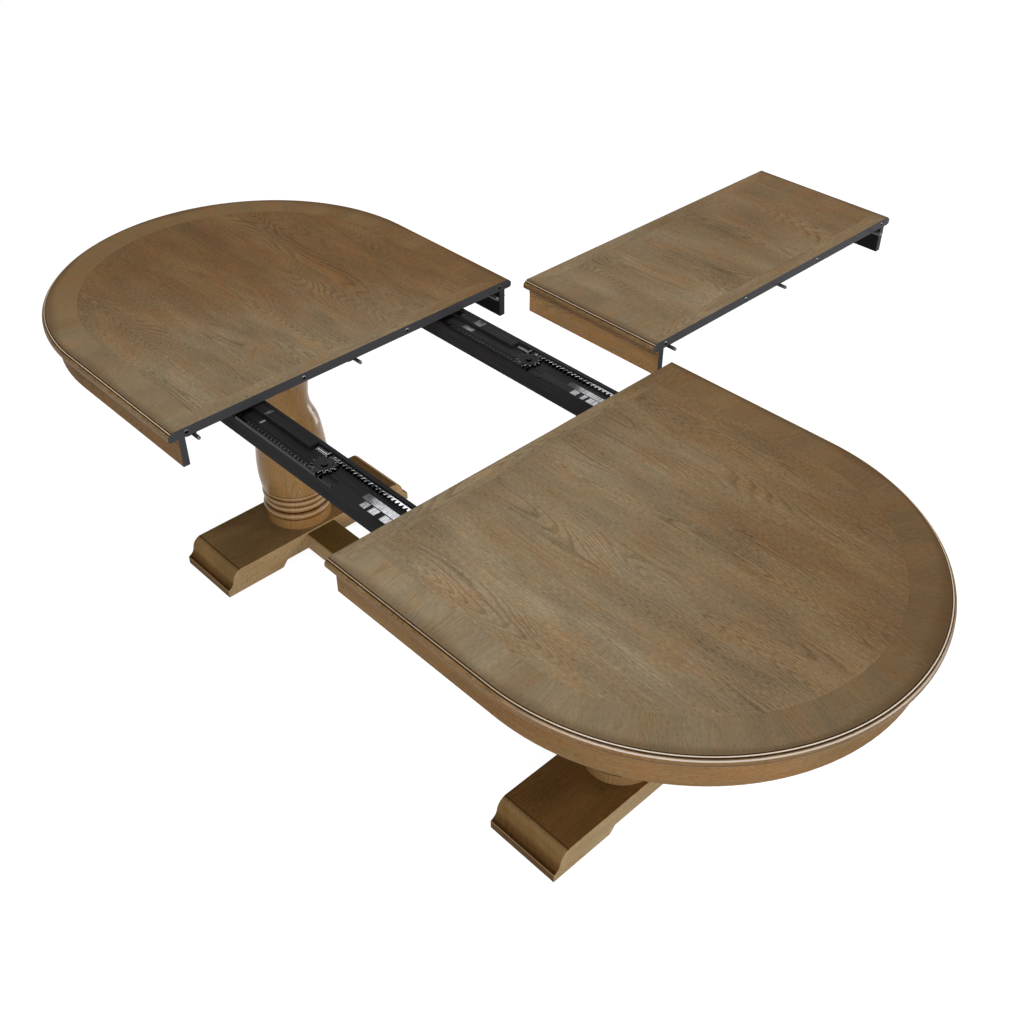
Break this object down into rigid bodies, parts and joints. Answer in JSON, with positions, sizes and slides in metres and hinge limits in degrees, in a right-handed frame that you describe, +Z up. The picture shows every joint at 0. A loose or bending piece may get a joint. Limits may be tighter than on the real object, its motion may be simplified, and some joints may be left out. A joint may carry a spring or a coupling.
{
  "type": "extending dining table",
  "caption": "Extending trestle dining table with round-ended half tops on geared slides, a loose leaf with slide bolts, turned columns, block feet and a low stretcher.",
  "frame": {"origin": "on the floor, midway between the two feet and below the middle of the opening between the half tops", "axes": "+X along the table towards the right half, +Y across it towards the side where the loose leaf lies, +Z up"},
  "size_m": [2.4982, 2.0848, 0.778],
  "materials": {
    "top_veneer": "brown grey stained oak veneer, wire brushed, satin lacquer, with cross grained borders",
    "edge_wood": "stained oak moulding and apron, satin lacquer, painted black at the seams",
    "column_wood": "turned oak, golden brown, semi gloss lacquer",
    "foot_wood": "stained oak, satin lacquer",
    "plain_wood": "plain stained hardwood",
    "black_wood": "satin black paint",
    "black_steel": "black, worn to bright metal on the teeth",
    "lock_steel": "blackened steel",
    "bright_steel": "zinc plated",
    "glide_plastic": "plain"
  },
  "bodies": {
    "base": {"far_centre_rail": "black_wood", "foot_glides": "glide_plastic", "gear_pins": "bright_steel", "left_bearer": "plain_wood", "left_column": "column_wood", "left_foot": "foot_wood", "near_centre_rail": "black_wood", "rail_bolts": "bright_steel", "right_bearer": "plain_wood", "right_column": "column_wood", "right_foot": "foot_wood", "stretcher": "foot_wood", "stretcher_dowels": "plain_wood", "tie_nuts": "bright_steel", "tie_rods": "bright_steel", "top_plates": "plain_wood"},
    "left_half": {"left_apron": "edge_wood", "left_edge": "edge_wood", "left_far_rack": "black_steel", "left_far_slide": "black_wood", "left_glue_blocks": "plain_wood", "left_lock_saddles": "black_steel", "left_near_rack": "black_steel", "left_near_slide": "black_wood", "left_panel": "top_veneer", "left_seam_bushes": "bright_steel", "left_seam_rails": "black_wood", "left_slide_screws": "bright_steel", "left_stop_brackets": "bright_steel"},
    "right_half": {"right_apron": "edge_wood", "right_edge": "edge_wood", "right_far_rack": "black_steel", "right_far_slide": "black_wood", "right_glue_blocks": "plain_wood", "right_lock_keepers": "black_steel", "right_near_rack": "black_steel", "right_near_slide": "black_wood", "right_panel": "top_veneer", "right_seam_pins": "bright_steel", "right_seam_rails": "black_wood", "right_slide_screws": "bright_steel", "right_stop_brackets": "bright_steel"},
    "near_gear": {"near_gear": "black_steel"},
    "far_gear": {"far_gear": "black_steel"},
    "leaf": {"leaf_aprons": "edge_wood", "leaf_edges": "edge_wood", "leaf_glue_blocks": "plain_wood", "leaf_lock_keepers": "black_steel", "leaf_lock_saddles": "black_steel", "leaf_panel": "top_veneer", "leaf_seam_bushes": "bright_steel", "leaf_seam_pins": "bright_steel", "leaf_seam_rails": "black_wood"},
    "left_near_bolt": {"left_near_lock_bolt": "lock_steel"},
    "left_middle_bolt": {"left_middle_lock_bolt": "lock_steel"},
    "left_far_bolt": {"left_far_lock_bolt": "lock_steel"},
    "leaf_near_bolt": {"leaf_near_lock_bolt": "lock_steel"},
    "leaf_middle_bolt": {"leaf_middle_lock_bolt": "lock_steel"},
    "leaf_far_bolt": {"leaf_far_lock_bolt": "lock_steel"}
  },
  "joints": [
    {"name": "left_half_slide", "type": "slide", "parent": "base", "child": "left_half", "axis": [1, 0, 0], "range_m": [0, 0.28]},
    {"name": "right_half_slide", "type": "slide", "parent": "base", "child": "right_half", "axis": [-1, 0, 0], "range_m": [0, 0.28]},
    {"name": "near_gear_turn", "type": "hinge", "parent": "base", "child": "near_gear", "pos_m": [0, -0.308, 0.745], "axis": [0, 0, 1], "range_deg": [0, 575]},
    {"name": "far_gear_turn", "type": "hinge", "parent": "base", "child": "far_gear", "pos_m": [0, 0.308, 0.745], "axis": [0, 0, 1], "range_deg": [0, 575]},
    {"name": "leaf_lift", "type": "slide", "parent": "base", "child": "leaf", "axis": [0, -0.9272, 0.3746], "range_m": [0, 1.13]},
    {"name": "left_near_bolt_slide", "type": "slide", "parent": "left_half", "child": "left_near_bolt", "axis": [-1, 0, 0], "range_m": [0, 0.02]},
    {"name": "left_middle_bolt_slide", "type": "slide", "parent": "left_half", "child": "left_middle_bolt", "axis": [-1, 0, 0], "range_m": [0, 0.02]},
    {"name": "left_far_bolt_slide", "type": "slide", "parent": "left_half", "child": "left_far_bolt", "axis": [-1, 0, 0], "range_m": [0, 0.02]},
    {"name": "leaf_near_bolt_slide", "type": "slide", "parent": "leaf", "child": "leaf_near_bolt", "axis": [-1, 0, 0], "range_m": [0, 0.02]},
    {"name": "leaf_middle_bolt_slide", "type": "slide", "parent": "leaf", "child": "leaf_middle_bolt", "axis": [-1, 0, 0], "range_m": [0, 0.02]},
    {"name": "leaf_far_bolt_slide", "type": "slide", "parent": "leaf", "child": "leaf_far_bolt", "axis": [-1, 0, 0], "range_m": [0, 0.02]}
  ],
  "couplings": [
    {"joint": "right_half_slide", "follows": "left_half_slide", "ratio": 1},
    {"joint": "near_gear_turn", "follows": "left_half_slide", "rad_per_m": 35.714},
    {"joint": "far_gear_turn", "follows": "left_half_slide", "rad_per_m": 35.714}
  ]
}
